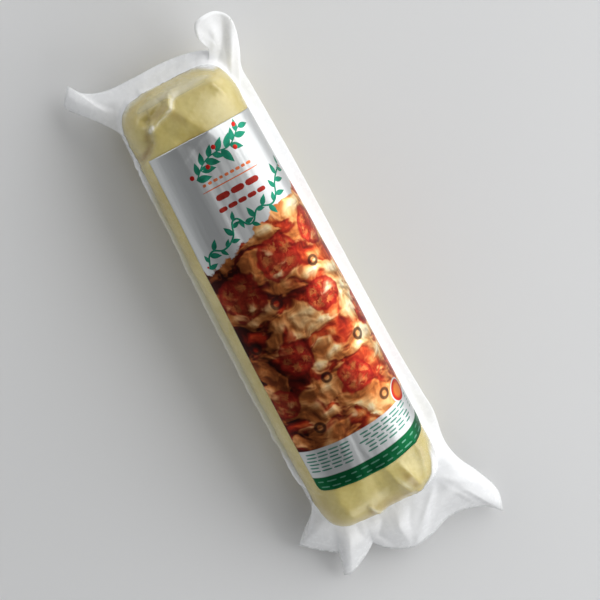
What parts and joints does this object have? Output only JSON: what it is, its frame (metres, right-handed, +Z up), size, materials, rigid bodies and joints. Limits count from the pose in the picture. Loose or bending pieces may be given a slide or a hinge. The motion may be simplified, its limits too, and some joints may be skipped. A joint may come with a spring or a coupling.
{
  "type": "mozzarella loaf",
  "caption": "Vacuum-packed mozzarella loaf in a clear pouch with narrow side fins, loose pointed flaps at both ends and a printed label over its crown.",
  "frame": {"origin": "on the floor, at the middle of the loaf's flat underside", "axes": "+Z up through the label, +Y along the loaf to the label's head, +X across to the wide fin"},
  "size_m": [0.1138, 0.3248, 0.0608],
  "materials": {
    "bag": "pale yellow cheese under clear gloss film",
    "label": "coated white paper with a colour print",
    "film": "clear film, milky where it is doubled",
    "cheese": "smooth moist cheese"
  },
  "bodies": {
    "root": {"bag": "bag", "label": "label"}
  },
  "joints": []
}
